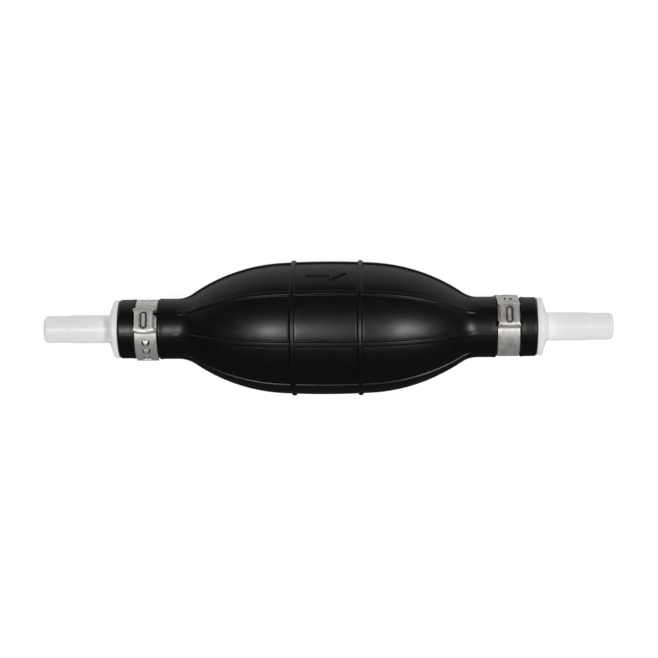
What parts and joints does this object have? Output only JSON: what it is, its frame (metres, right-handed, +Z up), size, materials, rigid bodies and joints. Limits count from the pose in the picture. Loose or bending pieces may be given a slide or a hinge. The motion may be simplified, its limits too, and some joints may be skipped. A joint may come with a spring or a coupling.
{
  "type": "siphon squeeze bulb",
  "caption": "Rubber hand-squeeze bulb with ribs and hoops, a plastic hose stem clamped into each neck by a steel ear clamp, and a spring check valve inside each stem.",
  "frame": {"origin": "on the bulb's axis, at the middle of the bulb's length", "axes": "+X along the flow, from the inlet stem to the outlet stem; +Z up, towards the clamps' ears; +Y towards the panel with the flow arrow"},
  "size_m": [0.1848, 0.044, 0.044],
  "materials": {
    "bulb_rubber": "satin black moulded rubber with a fine matt skin",
    "fitting_plastic": "natural white translucent polypropylene, satin",
    "clamp_steel": "stainless steel strip, lightly brushed",
    "valve_plastic": "natural acetal, moulded",
    "seal_rubber": "soft black rubber",
    "spring_steel": "bright stainless spring wire"
  },
  "bodies": {
    "bulb_and_fittings": {"squeeze_bulb": "bulb_rubber", "inlet_fitting": "fitting_plastic", "inlet_clamp": "clamp_steel", "inlet_valve_body": "valve_plastic", "inlet_spring_guide": "valve_plastic", "inlet_valve_spring": "spring_steel", "outlet_fitting": "fitting_plastic", "outlet_clamp": "clamp_steel", "outlet_valve_body": "valve_plastic", "outlet_spring_guide": "valve_plastic", "outlet_valve_spring": "spring_steel"},
    "thumb_panel": {"flow_arrow": "bulb_rubber"},
    "inlet_poppet": {"inlet_poppet": "valve_plastic", "inlet_poppet_seal": "seal_rubber"},
    "outlet_poppet": {"outlet_poppet": "valve_plastic", "outlet_poppet_seal": "seal_rubber"}
  },
  "joints": [
    {"name": "bulb_squeeze", "type": "slide", "parent": "bulb_and_fittings", "child": "thumb_panel", "axis": [0, -0.8018, -0.5976], "range_m": [0, 0.006], "stiffness_N_per_m": 2500, "deforming": ["squeeze_bulb"]},
    {"name": "inlet_valve_lift", "type": "slide", "parent": "bulb_and_fittings", "child": "inlet_poppet", "axis": [1, 0, 0], "range_m": [0, 0.002], "stiffness_N_per_m": 60, "springref_m": -0.002, "deforming": ["inlet_valve_spring"]},
    {"name": "outlet_valve_lift", "type": "slide", "parent": "bulb_and_fittings", "child": "outlet_poppet", "axis": [1, 0, 0], "range_m": [0, 0.002], "stiffness_N_per_m": 60, "springref_m": -0.002, "deforming": ["outlet_valve_spring"]}
  ]
}
